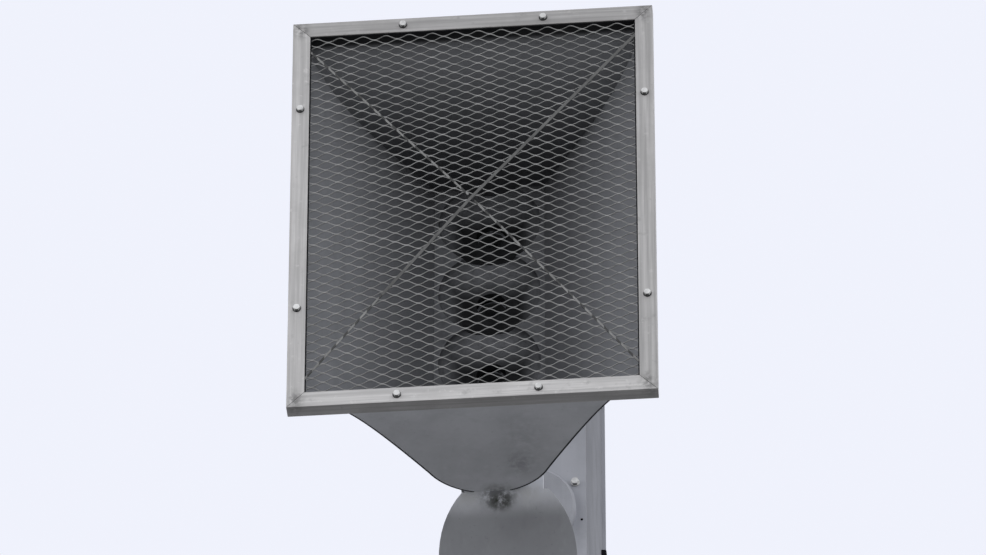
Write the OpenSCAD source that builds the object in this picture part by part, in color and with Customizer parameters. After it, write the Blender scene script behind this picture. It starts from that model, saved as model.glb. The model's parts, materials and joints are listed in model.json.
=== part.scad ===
// Siren tower: a box-section mast on a base plate that carries one flared horn with four drivers.
// Millimetres. The origin is the centre of the base plate's underside, +Z is up, the horn faces -Y.

/* [Mast] */
// Width of the mast's front face
mast_w = 204; // [180:2:260]
// Depth of the mast from front to back
mast_d = 390; // [240:5:460]
// Wall of the mast
mast_wall = 8; // [5:0.5:12]
// Height of the mast's top above the ground
mast_top = 10720; // [8800:10:13000]
// Thickness of the cap plate on the mast
cap_t = 6; // [4:0.5:12]
// How far the cap plate stands out past the mast
cap_lip = 8; // [2:1:20]
// Thickness of the cable cover on the mast's back
cover_t = 6; // [3:0.5:10]
// How far the cable cover stands out past each side of the mast
cover_lip = 6; // [2:0.5:15]
// Height of the cable cover's lower end above the ground
cover_low = 600; // [400:10:2000]

/* [Base] */
// Width of the base plate
base_w = 480; // [440:10:700]
// Depth of the base plate
base_d = 720; // [660:10:900]
// Thickness of the base plate
base_t = 30; // [16:1:50]
// Distance from an anchor hole's middle to the plate's edges
anchor_inset = 50; // [30:1:60]
// Diameter of the anchor holes
anchor_d = 33; // [20:1:40]
// Height of the gussets
gusset_h = 260; // [100:10:400]
// Distance from a gusset's toe to the plate's edge
gusset_inset = 28; // [10:1:60]
// Thickness of the gussets
gusset_t = 14; // [8:1:25]

/* [Mouth frame] */
// Width of the horn's mouth over the frame
mouth_w = 600; // [520:5:700]
// Height of the horn's mouth over the frame
mouth_h = 800; // [740:5:900]
// Distance from the mast's top down to the mouth's centre
mouth_drop = 520; // [490:5:1200]
// Width of the frame's front leg
frame_face = 29; // [20:1:40]
// Depth of the frame's outer leg
frame_depth = 26; // [20:1:40]
// Thickness of the frame's legs
frame_t = 3; // [2:0.5:5]

/* [Guard] */
// Long way of a diamond in the mesh
mesh_long = 38.5; // [30:0.5:60]
// Short way of a diamond in the mesh
mesh_short = 18.2; // [14:0.1:30]
// Width of a strand
strand_w = 2.6; // [1.5:0.1:4]
// Thickness of the mesh sheet
guard_t = 2; // [1:0.5:3]
// How far the creased mesh stands forward at its middle
guard_rise = 20; // [5:1:25]
// Solid margin along the mesh's outer edge
guard_rim = 8; // [4:1:20]
// Half width of the solid crease line
crease_w = 2; // [1:0.5:5]

/* [Horn] */
// Sideways place of the horn's middle from the mast's middle
horn_x = -21; // [-24:1:8]
// Distance from the front of the mouth to the mast
horn_reach = 848; // [780:2:1000]
// Depth of the horn from the front of the mouth to its back plate
horn_depth = 390; // [360:5:480]
// Thickness of the horn's sheets
sheet_t = 3; // [1.5:0.5:6]
// How sharply the top and bottom flare towards the mouth
height_flare = 5; // [1.5:0.1:8]
// How sharply the sides flare towards the mouth
width_flare = 1.02; // [1.01:0.01:2]
// Width over the horn's sides where they meet the throat block
throat_w = 192; // [186:2:240]
// Depth of the throat block
block_depth = 54; // [45:1:80]
// Width of the flat pad at the back of the throat block
pad_w = 60; // [56:2:110]

/* [Drivers] */
// Distance from one driver to the next
driver_pitch = 148; // [136:1:170]
// Radius of a throat's bowl at the horn
funnel_r = 86; // [50:1:88]
// Wall between the bottom of a throat's bowl and the back plate
bowl_wall = 18; // [10:1:30]
// Radius of a throat at its driver
throat_r = 25; // [15:1:35]
// Radius of a driver's can
driver_r = 60; // [50:1:66]
// Length of a driver's can
driver_len = 150; // [110:5:200]
// Radius of the collar that holds a driver
collar_r = 48; // [42:1:60]
// Length of the collar that holds a driver
collar_len = 36; // [20:1:60]

/* [Support] */
// Width of the back plate
back_w = 127; // [120:1:160]
// Thickness of the back plate and its two paddles
plate_t = 8; // [5:0.5:12]
// Width of a paddle
paddle_w = 229; // [180:1:260]
// Height of a paddle's oval
paddle_h = 284; // [240:2:320]
// Distance from a paddle's bend to the middle of its oval
paddle_drop = 111; // [80:1:130]
// Lean of a paddle away from upright, in degrees
paddle_tilt = 33; // [15:1:45]
// Width of a support arm
arm_w = 90; // [60:5:120]
// Wall of a support arm
arm_wall = 5; // [3:0.5:8]
// Thickness of the flange between an arm and the mast
flange_t = 14; // [8:1:25]
// How far the flange stands out past the arm
flange_lip = 40; // [20:2:50]
// Radius of the round junction box on the mast
junction_r = 85; // [60:1:95]
// Depth of the round junction box
junction_t = 20; // [12:1:60]
// Height of the junction box from the mouth's centre
junction_z = -10; // [-40:1:40]

/* [Hidden] */
$fn = 64;

paint_grey = "#8f949a";
galvanised = "#a9adb0";
driver_grey = "#6f757a";
seat_gap = 0.3;
overcut = 1;
big = 2000;
driver_count = 4;
curve_steps = 24;
side_steps = 10;
arc_steps = 8;
bowl_steps = 9;
oval_steps = 56;

mouth_z = mast_top - mouth_drop;
anchor_x = base_w - 2 * anchor_inset;
anchor_y = base_d - 2 * anchor_inset;

// The mesh's edge lies behind the frame's front leg, and the horn's rim lies behind the mesh.
guard_half_w = mouth_w / 2 - frame_t - seat_gap;
guard_half_h = mouth_h / 2 - frame_t - seat_gap;
hidden_edge = frame_face - frame_t;
guard_edge_y = frame_t + seat_gap + guard_rise * hidden_edge / guard_half_w;
rim_y = guard_edge_y + guard_t + seat_gap;
throat_y = horn_depth - block_depth;
rim_half_w = guard_half_w;
rim_half_h = guard_half_h;
rear_half_h = driver_count * driver_pitch / 2 + sheet_t;
driver_z = [for (i = [0 : driver_count - 1]) ((driver_count - 1) / 2 - i) * driver_pitch];
bend_z = rear_half_h + seat_gap;
arm_z = bend_z + paddle_drop * cos(paddle_tilt);
back_y = horn_depth + plate_t;

// Outer half height of the horn at depth y, and its slope.
function height_share(y) = 1 - (y - rim_y) / (horn_depth - rim_y);
function half_height(y) =
    rear_half_h + (rim_half_h - rear_half_h) * pow(height_share(y), height_flare);
function height_slope(y) =
    (rim_half_h - rear_half_h) * height_flare * pow(height_share(y), height_flare - 1)
    / (horn_depth - rim_y);
function inner_height(y) = half_height(y) - sheet_t * sqrt(1 + pow(height_slope(y), 2));

// Outer half width of the horn at depth y, from the rim to the throat block, and its slope.
function width_share(y) = 1 - (y - rim_y) / (throat_y - rim_y);
function half_width(y) =
    throat_w / 2 + (rim_half_w - throat_w / 2) * pow(width_share(y), width_flare);
function width_slope(y) =
    (rim_half_w - throat_w / 2) * width_flare * pow(width_share(y), width_flare - 1)
    / (throat_y - rim_y);
function inner_width(y) = half_width(y) - sheet_t * sqrt(1 + pow(width_slope(y), 2));

height_ys = [for (i = [0 : curve_steps]) rim_y + (horn_depth - rim_y) * i / curve_steps];
width_ys = [for (i = [0 : side_steps]) rim_y + (throat_y - rim_y) * i / side_steps];
function reversed(list) = [for (i = [len(list) - 1 : -1 : 0]) list[i]];

// The throat block's back is an arc through the ends of the sides and the edges of the flat pad.
arc_y = (pow(pad_w / 2, 2) + pow(horn_depth, 2) - pow(throat_w / 2, 2) - pow(throat_y, 2))
    / (2 * block_depth);
arc_r = norm([pad_w / 2, horn_depth - arc_y]);
arc_from = atan2(throat_y - arc_y, throat_w / 2);
arc_to = atan2(horn_depth - arc_y, pad_w / 2);
block_arc = [
    for (i = [0 : arc_steps])
        let (a = arc_from + (arc_to - arc_from) * i / arc_steps)
            [arc_r * cos(a), arc_y + arc_r * sin(a)]
];

// A throat's bowl: a quarter of an oval from the block's front in to the hole for the driver.
bowl_depth = block_depth - bowl_wall;
bowl_arc = [
    for (i = [bowl_steps : -1 : 0])
        let (a = 90 * i / bowl_steps)
            [throat_r + (funnel_r - throat_r) * sin(a), horn_depth - bowl_wall - bowl_depth * (1 - cos(a))]
];
bowl_from = throat_y - overcut;
bowl_to = horn_depth + overcut;
bowl = concat([[0, bowl_from], [funnel_r, bowl_from]], bowl_arc, [[throat_r, bowl_to], [0, bowl_to]]);

function mirrored(points) = [for (p = reversed(points)) [-p[0], p[1]]];
function both_sides(points) = concat(points, mirrored(points));

// Puts its children at the mouth's centre: x to the right, y from the mouth back, z up.
module at_mouth() {
    translate([horn_x, -mast_d / 2 - horn_reach, mouth_z]) children();
}

// Carries a side view in depth and height across a width, centred on x = 0.
module across(width) {
    translate([-width / 2, 0, 0]) rotate([90, 0, 90]) linear_extrude(width) children();
}

// Carries a front view in x and z from y0 back through a thickness.
module front_view(y0, thickness) {
    translate([0, y0 + thickness, 0]) rotate([90, 0, 0]) linear_extrude(thickness) children();
}

// A turned shape whose axis runs back along y from y0.
module turned_back(y0, profile) {
    translate([0, y0, 0]) rotate([-90, 0, 0]) rotate_extrude() polygon(profile);
}

// Mast

module base_plate() {
    color(galvanised) difference() {
        translate([-base_w / 2, -base_d / 2, 0]) cube([base_w, base_d, base_t]);
        for (x = [-1, 1], y = [-1, 1])
            translate([x * anchor_x / 2, y * anchor_y / 2, -overcut])
                cylinder(h = base_t + 2 * overcut, d = anchor_d);
    }
}

// A triangular rib that stands on the base plate and leans on the mast's face at a distance.
module gusset(turn, face, edge) {
    toe = gusset_t;
    reach = edge - gusset_inset - face;
    color(galvanised) rotate([0, 0, turn]) translate([0, face, base_t]) across(gusset_t)
        polygon([[0, 0], [reach, 0], [reach, toe], [toe, gusset_h], [0, gusset_h]]);
}

module mast_tube() {
    inner = [mast_w - 2 * mast_wall, mast_d - 2 * mast_wall];
    color(paint_grey) translate([0, 0, base_t]) linear_extrude(mast_top - base_t) difference() {
        square([mast_w, mast_d], center = true);
        square(inner, center = true);
    }
}

module mast_cap() {
    w = mast_w + 2 * cap_lip;
    d = mast_d + 2 * cap_lip + 2 * cover_t;
    color(paint_grey) translate([-w / 2, -d / 2, mast_top]) cube([w, d, cap_t]);
}

module rear_cable_cover() {
    w = mast_w + 2 * cover_lip;
    color(paint_grey) translate([-w / 2, mast_d / 2, cover_low])
        cube([w, cover_t, mast_top - cover_low]);
}

module junction_box() {
    edge = junction_t / 4;
    color(galvanised) translate([0, -mast_d / 2, mouth_z + junction_z]) turned_back(
        -junction_t,
        [[0, 0], [junction_r - edge, 0], [junction_r, edge], [junction_r, junction_t], [0, junction_t]]
    );
}

// Support

// Depth of a paddle's back face at a distance from the mouth's centre.
function paddle_back(z) = horn_depth + (z - bend_z) * tan(paddle_tilt) + plate_t / cos(paddle_tilt);

module arm_outline(z, half, start) {
    stop = horn_reach - flange_t;
    polygon([
        [paddle_back(z - half) - start, z - half], [stop + start, z - half],
        [stop + start, z + half], [paddle_back(z + half) - start, z + half]
    ]);
}

// A square tube from the back of the upper paddle to its flange, its front end cut to the lean.
module arm() {
    hollow = arm_w - 2 * arm_wall;
    color(paint_grey) translate([-horn_x, 0, 0]) difference() {
        across(arm_w) arm_outline(arm_z, arm_w / 2, 0);
        across(hollow) arm_outline(arm_z, hollow / 2, flange_t);
    }
}

module arm_flange() {
    size = arm_w + 2 * flange_lip;
    color(paint_grey) translate([-horn_x, 0, arm_z]) front_view(horn_reach - flange_t, flange_t)
        square(size, center = true);
}

module back_plate() {
    color(paint_grey) difference() {
        translate([-horn_x, 0, 0]) front_view(horn_depth, plate_t)
            square([back_w, 2 * bend_z], center = true);
        for (z = driver_z)
            translate([0, horn_depth - overcut, z]) rotate([-90, 0, 0])
                cylinder(h = plate_t + 2 * overcut, r = throat_r);
    }
}

// The oval that the back plate widens into above its bend, leaning back to the arm.
module paddle() {
    oval = [
        for (i = [0 : oval_steps - 1])
            let (a = 360 * i / oval_steps)
                [paddle_w / 2 * cos(a), paddle_drop + paddle_h / 2 * sin(a)]
    ];
    color(paint_grey) translate([-horn_x, 0, 0]) difference() {
        translate([0, horn_depth, bend_z]) rotate([-paddle_tilt, 0, 0]) front_view(0, plate_t) polygon(oval);
        translate([-big / 2, -big / 2, bend_z - big]) cube(big);
    }
}

module lower() {
    mirror([0, 0, 1]) children();
}

// Horn

// The space between the top and bottom sheets, as a side view.
module inside_height() {
    top = [for (y = height_ys) [y, inner_height(y)]];
    polygon(concat(top, [for (p = reversed(top)) [p[0], -p[1]]]));
}

module horn_top() {
    outer = [for (y = height_ys) [y, half_height(y)]];
    inner = [for (y = height_ys) [y, inner_height(y)]];
    sides = [for (y = width_ys) [half_width(y), y]];
    color(paint_grey) intersection() {
        across(mouth_w) polygon(concat(outer, reversed(inner)));
        linear_extrude(mouth_h, center = true) polygon(both_sides(concat(sides, block_arc)));
    }
}

module horn_right() {
    outer = [for (y = width_ys) [half_width(y), y]];
    inner = [for (y = width_ys) [inner_width(y), y]];
    color(paint_grey) intersection() {
        linear_extrude(mouth_h, center = true) polygon(concat(outer, reversed(inner)));
        across(mouth_w) inside_height();
    }
}

module throat_block() {
    color(paint_grey) difference() {
        intersection() {
            linear_extrude(mouth_h, center = true) polygon(both_sides(block_arc));
            across(mouth_w) inside_height();
        }
        for (z = driver_z) translate([0, 0, z]) turned_back(0, bowl);
    }
}

// One angle bar of the mouth frame, along x with its outer edge at a distance above the centre.
module frame_bar(length, distance) {
    reach = frame_face;
    color(galvanised) translate([0, 0, distance]) intersection() {
        across(length) polygon([
            [0, 0], [frame_depth, 0], [frame_depth, -frame_t], [frame_t, -frame_t],
            [frame_t, -frame_face], [0, -frame_face]
        ]);
        front_view(0, frame_depth) polygon([
            [-length / 2, 0], [length / 2, 0], [length / 2 - reach, -reach], [-length / 2 + reach, -reach]
        ]);
    }
}

// Guard

// Keeps the part of a convex outline where normal * point is at least limit.
function clipped(outline, normal, limit) = [
    for (i = [0 : len(outline) - 1])
        let (
            a = outline[i],
            b = outline[(i + 1) % len(outline)],
            da = normal * a - limit,
            db = normal * b - limit
        )
            each concat(da >= 0 ? [a] : [], da * db < 0 ? [a + (b - a) * da / (da - db)] : [])
];

function turn_area(p) = abs([
    for (i = [0 : len(p) - 1])
        let (q = p[(i + 1) % len(p)]) (p[i][0] * q[1] - q[0] * p[i][1]) / 2
] * [for (i = p) 1]);

// One triangular face of the mesh: its edge on x, its tip up, with diamonds between the strands.
module guard_face(edge_half, drop, pitch_x, pitch_y) {
    tip = norm([drop, guard_rise]);
    slant = norm([tip, edge_half]);
    left_in = [tip, -edge_half] / slant;
    right_in = [-tip, -edge_half] / slant;
    crease_at = -tip * edge_half / slant;
    side = norm([pitch_x, pitch_y]) / 2;
    hole_x = pitch_x / 2 - strand_w * side / pitch_y;
    hole_y = pitch_y / 2 - strand_w * side / pitch_x;
    least_hole = strand_w * strand_w;
    sheet = clipped(
        clipped([[-edge_half, 0], [edge_half, 0], [0, tip]], left_in, crease_at + seat_gap),
        right_in, crease_at + seat_gap
    );
    columns = ceil(2 * edge_half / pitch_x);
    difference() {
        polygon(sheet);
        for (row = [0 : floor(2 * tip / pitch_y)], column = [-columns : columns])
            if ((row + column) % 2 == 0) {
                middle = [column * pitch_x / 2, tip - row * pitch_y / 2];
                diamond = [
                    for (d = [[hole_x, 0], [0, hole_y], [-hole_x, 0], [0, -hole_y]]) middle + d
                ];
                above = clipped(diamond, [0, 1], guard_rim);
                left = len(above) > 2 ? clipped(above, left_in, crease_at + crease_w) : [];
                hole = len(left) > 2 ? clipped(left, right_in, crease_at + crease_w) : [];
                if (len(hole) > 2)
                    if (turn_area(hole) > least_hole) polygon(hole);
            }
    }
}

// A guard face seated behind the frame bar above the mouth's centre, leaning out to the middle.
module guard_panel(edge_half, drop, pitch_x, pitch_y) {
    color(galvanised) translate([0, guard_edge_y, drop]) rotate([-atan2(guard_rise, drop), 0, 0])
        front_view(0, guard_t) mirror([0, 1]) guard_face(edge_half, drop, pitch_x, pitch_y);
}

module guard_upright() {
    guard_panel(guard_half_w, guard_half_h, mesh_long, mesh_short);
}

module guard_sideways() {
    rotate([0, 90, 0]) guard_panel(guard_half_h, guard_half_w, mesh_short, mesh_long);
}

// Drivers, numbered from the top

module collar(i) {
    step = collar_len / 3;
    neck_r = throat_r + collar_r / 4;
    color(driver_grey) translate([0, 0, driver_z[i]]) turned_back(back_y, [
        [throat_r, 0], [collar_r, 0], [collar_r, step], [neck_r, step], [neck_r, 2 * step],
        [collar_r, 2 * step], [collar_r, collar_len], [throat_r, collar_len]
    ]);
}

module driver(i) {
    lip = driver_r / 15;
    dome = driver_len / 4;
    body_end = driver_len - dome;
    fin = body_end / 7;
    fins = [
        for (k = [1 : 3])
            each [
                [driver_r, (2 * k - 1) * fin], [driver_r - lip, (2 * k - 1) * fin],
                [driver_r - lip, 2 * k * fin], [driver_r, 2 * k * fin]
            ]
    ];
    rear = [
        for (k = [0 : 6])
            let (a = 15 * k)
                [driver_r / 4 + (driver_r * 3 / 4) * cos(a), body_end + dome * 2 / 3 * sin(a)]
    ];
    color(driver_grey) translate([0, 0, driver_z[i]]) turned_back(
        back_y + collar_len,
        concat([[0, 0], [driver_r, 0]], fins, rear, [[driver_r / 4, driver_len], [0, driver_len]])
    );
}

base_plate();
gusset(180, mast_d / 2, base_d / 2);  // gusset_front
gusset(0, mast_d / 2, base_d / 2);  // gusset_back
gusset(90, mast_w / 2, base_w / 2);  // gusset_left
gusset(-90, mast_w / 2, base_w / 2);  // gusset_right
mast_tube();
mast_cap();
rear_cable_cover();
junction_box();
at_mouth() lower() arm();  // lower_arm
at_mouth() arm();  // upper_arm
at_mouth() lower() arm_flange();  // lower_arm_flange
at_mouth() arm_flange();  // upper_arm_flange
at_mouth() back_plate();
at_mouth() lower() paddle();  // lower_paddle
at_mouth() paddle();  // upper_paddle
at_mouth() throat_block();
at_mouth() horn_top();
at_mouth() lower() horn_top();  // horn_bottom
at_mouth() mirror([1, 0, 0]) horn_right();  // horn_left
at_mouth() horn_right();
at_mouth() frame_bar(mouth_w, mouth_h / 2);  // frame_top
at_mouth() lower() frame_bar(mouth_w, mouth_h / 2);  // frame_bottom
at_mouth() rotate([0, -90, 0]) frame_bar(mouth_h, mouth_w / 2);  // frame_left
at_mouth() rotate([0, 90, 0]) frame_bar(mouth_h, mouth_w / 2);  // frame_right
at_mouth() guard_upright();  // guard_top
at_mouth() lower() guard_upright();  // guard_bottom
at_mouth() mirror([1, 0, 0]) guard_sideways();  // guard_left
at_mouth() guard_sideways();  // guard_right
at_mouth() collar(0);  // collar_1
at_mouth() collar(1);  // collar_2
at_mouth() collar(2);  // collar_3
at_mouth() collar(3);  // collar_4
at_mouth() driver(0);  // driver_1
at_mouth() driver(1);  // driver_2
at_mouth() driver(2);  // driver_3
at_mouth() driver(3);  // driver_4
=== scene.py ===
"""Siren tower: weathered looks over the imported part, seen from eye level on the ground."""

import json
import math

import bmesh
import bpy
import numpy as np
from mathutils import Matrix, Vector


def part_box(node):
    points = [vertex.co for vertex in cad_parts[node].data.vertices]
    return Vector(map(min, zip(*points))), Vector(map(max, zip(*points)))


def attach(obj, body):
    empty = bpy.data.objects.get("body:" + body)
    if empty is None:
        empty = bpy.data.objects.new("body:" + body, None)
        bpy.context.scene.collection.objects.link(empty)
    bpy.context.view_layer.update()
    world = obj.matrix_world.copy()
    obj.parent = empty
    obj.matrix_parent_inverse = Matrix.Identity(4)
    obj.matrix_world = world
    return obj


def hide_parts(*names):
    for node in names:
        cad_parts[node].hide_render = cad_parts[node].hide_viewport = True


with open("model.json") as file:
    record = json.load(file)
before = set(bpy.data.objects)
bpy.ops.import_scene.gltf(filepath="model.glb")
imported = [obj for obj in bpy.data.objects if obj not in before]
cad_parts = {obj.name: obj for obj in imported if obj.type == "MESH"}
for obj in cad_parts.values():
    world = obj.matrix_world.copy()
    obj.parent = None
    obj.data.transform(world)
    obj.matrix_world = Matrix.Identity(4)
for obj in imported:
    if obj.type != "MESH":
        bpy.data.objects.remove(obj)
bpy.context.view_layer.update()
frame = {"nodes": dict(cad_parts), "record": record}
NODES = frame["nodes"]
MM = 0.001
FRONT, BACK, UP, DOWN, RIGHT = (0, -1, 0), (0, 1, 0), (0, 0, 1), (0, 0, -1), (1, 0, 0)

# Places read from the part, in metres
FRAME_LOW = np.minimum(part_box("frame_left")[0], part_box("frame_bottom")[0])
FRAME_HIGH = np.maximum(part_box("frame_right")[1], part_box("frame_top")[1])
MOUTH = np.array([
    (FRAME_LOW[0] + FRAME_HIGH[0]) / 2, FRAME_LOW[1], (FRAME_LOW[2] + FRAME_HIGH[2]) / 2
])
MOUTH_W = (FRAME_HIGH[0] - FRAME_LOW[0]) / MM
MOUTH_H = (FRAME_HIGH[2] - FRAME_LOW[2]) / MM
MAST_LOW, MAST_HIGH = (np.array(v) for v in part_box("mast_tube"))

# Sizes shared with the part's source, in millimetres
FRAME_FACE, FRAME_DEPTH, FRAME_T = 29.0, 26.0, 3.0
MESH_LONG, MESH_SHORT = 38.5, 18.2
GUARD_RISE, GUARD_T, SEAT_GAP = 20.0, 2.0, 0.3
HORN_DEPTH, BLOCK_DEPTH, SHEET_T = 390.0, 54.0, 3.0
HEIGHT_FLARE, WIDTH_FLARE = 5.0, 1.02
THROAT_W, PAD_W = 192.0, 60.0
DRIVER_PITCH, DRIVER_COUNT = 148.0, 4

GUARD_HALF_W = MOUTH_W / 2 - FRAME_T - SEAT_GAP
GUARD_HALF_H = MOUTH_H / 2 - FRAME_T - SEAT_GAP
GUARD_EDGE_Y = FRAME_T + SEAT_GAP + GUARD_RISE * (FRAME_FACE - FRAME_T) / GUARD_HALF_W
RIM_Y = GUARD_EDGE_Y + GUARD_T + SEAT_GAP
THROAT_Y = HORN_DEPTH - BLOCK_DEPTH
REAR_HALF_H = DRIVER_COUNT * DRIVER_PITCH / 2 + SHEET_T
BLOCK_MIDDLE = (
    (PAD_W / 2) ** 2 + HORN_DEPTH ** 2 - (THROAT_W / 2) ** 2 - THROAT_Y ** 2
) / (2 * BLOCK_DEPTH)
BLOCK_RADIUS = math.hypot(PAD_W / 2, HORN_DEPTH - BLOCK_MIDDLE)


# Mesh helpers: a solid is its points and a list of face arrays, each array with one number of corners


def grid_faces(rows, columns, wrap=False, start=0):
    """Quads of a rows by columns grid of points, the columns closed into a ring when wrap is set."""
    i = np.arange(rows - 1)[:, None]
    j = np.arange(columns if wrap else columns - 1)[None, :]
    k = (j + 1) % columns
    quads = np.stack(
        [i * columns + j + 0 * k, i * columns + k, (i + 1) * columns + k, (i + 1) * columns + j], axis=-1
    )
    return quads.reshape(-1, 4) + start


def joined(parts):
    """One solid from several: their points in one array, and their faces counted on from each other."""
    faces, start = [], 0
    for points, arrays in parts:
        faces += [corners + start for corners in arrays]
        start += len(points)
    return np.concatenate([points for points, _ in parts]), faces


def tube(rows):
    """Closed solid through rings of points, rows by ring points by 3, with a flat cap at each end."""
    n, m = rows.shape[:2]
    ring = np.arange(m)[None]
    return rows.reshape(-1, 3), [grid_faces(n, m, True), ring[:, ::-1], ring + (n - 1) * m]


def turned(profile, sides=32):
    """A turned solid about z: radius and height of each profile point, carried round a circle."""
    a = np.linspace(0, 2 * np.pi, sides, endpoint=False)
    r, h = np.asarray(profile, float).T
    rows = np.stack(
        [r[:, None] * np.cos(a), r[:, None] * np.sin(a), h[:, None] + 0 * a], axis=-1
    )
    return tube(rows)


def hexagon(across, height, start=0.0, chamfer=0.12):
    """A hexagon head: at each height the radius is the lesser of a hexagon's and a limiting circle's."""
    a = np.linspace(0, 2 * np.pi, 48, endpoint=False)
    flat = across / 2 / np.cos((a % (np.pi / 3)) - np.pi / 6)
    corner = across / np.sqrt(3)
    levels = np.array([0, 0.82, 0.93, 1.0]) * height + start
    limits = corner * np.array([1.0, 1.0, 1 - chamfer / 2.5, 1 - chamfer])
    r = np.minimum(flat[None, :], limits[:, None])
    rows = np.stack([r * np.cos(a), r * np.sin(a), levels[:, None] + 0 * a], axis=-1)
    return tube(rows)


def turned_to(solid, place, axis):
    """The solid in millimetres set at a place in metres, its z turned to the axis."""
    points, faces = solid
    turn = np.array(Vector(axis).normalized().to_track_quat("Z", "Y").to_matrix())
    return points @ turn.T * MM + np.asarray(place), faces


def swept(path, profile, up):
    """A profile carried along a path: each ring is the profile laid across the path's direction."""
    path = np.asarray(path, float)
    along = np.gradient(path, axis=0)
    along /= np.linalg.norm(along, axis=1, keepdims=True)
    up = np.broadcast_to(np.asarray(up, float), path.shape)
    side = np.cross(along, up)
    side /= np.linalg.norm(side, axis=1, keepdims=True)
    over = np.cross(side, along)
    p = np.asarray(profile, float)
    rows = path[:, None] + side[:, None] * p[None, :, :1] + over[:, None] * p[None, :, 1:]
    return tube(rows)


def circle(radius, sides=10):
    """Points of a circle, which is the profile of a bead or a wire."""
    a = np.linspace(0, 2 * np.pi, sides, endpoint=False)
    return np.stack([radius * np.cos(a), radius * np.sin(a)], axis=-1)


def box_solid(low, high, edge):
    """A box with rounded upright edges: a rounded rectangle carried from the low to the high level."""
    low, high = np.asarray(low, float), np.asarray(high, float)
    sides = 32
    a = np.linspace(0, 2 * np.pi, sides, endpoint=False)
    half, mid = (high - low) / 2, (high + low) / 2
    x = np.sign(np.cos(a)) * (half[0] - edge) + edge * np.cos(a)
    y = np.sign(np.sin(a)) * (half[1] - edge) + edge * np.sin(a)
    ease = edge * 0.5
    rows = []
    for z, inset in ((low[2], ease), (low[2] + ease, 0), (high[2] - ease, 0), (high[2], ease)):
        rx, ry = 1 - inset / half[0], 1 - inset / half[1]
        rows.append(np.stack([mid[0] + x * rx, mid[1] + y * ry, np.full(sides, z)], axis=-1))
    return tube(np.array(rows))


def face_list(faces):
    """The faces of a solid as the plain list that a mesh is made from."""
    return [face for corners in faces for face in corners.tolist()]


def piece(name, solid, material, stands_for=(), smooth_deg=35.0):
    """A new object from points in the part's frame, riding on the part's one body."""
    points, faces = solid
    mesh = bpy.data.meshes.new(name)
    mesh.from_pydata(points.tolist(), [], face_list(faces))
    mesh.validate()
    mesh.update()
    mesh.polygons.foreach_set("use_smooth", np.ones(len(mesh.polygons), bool))
    mesh.set_sharp_from_angle(angle=math.radians(smooth_deg))
    mesh.materials.append(material)
    obj = bpy.data.objects.new(name, mesh)
    bpy.context.scene.collection.objects.link(obj)
    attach(obj, "root")
    if stands_for:
        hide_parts(*stands_for)
    return obj


def outward(obj):
    """Turns the faces of a closed piece to look out."""
    bm = bmesh.new()
    bm.from_mesh(obj.data)
    bmesh.ops.recalc_face_normals(bm, faces=bm.faces)
    bm.to_mesh(obj.data)
    bm.free()
    obj.data.update()
    return obj


def at_mouth(points):
    """Points in millimetres from the mouth's middle, as metres in the part's frame."""
    return np.asarray(points, float) * MM + MOUTH


# Materials


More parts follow.
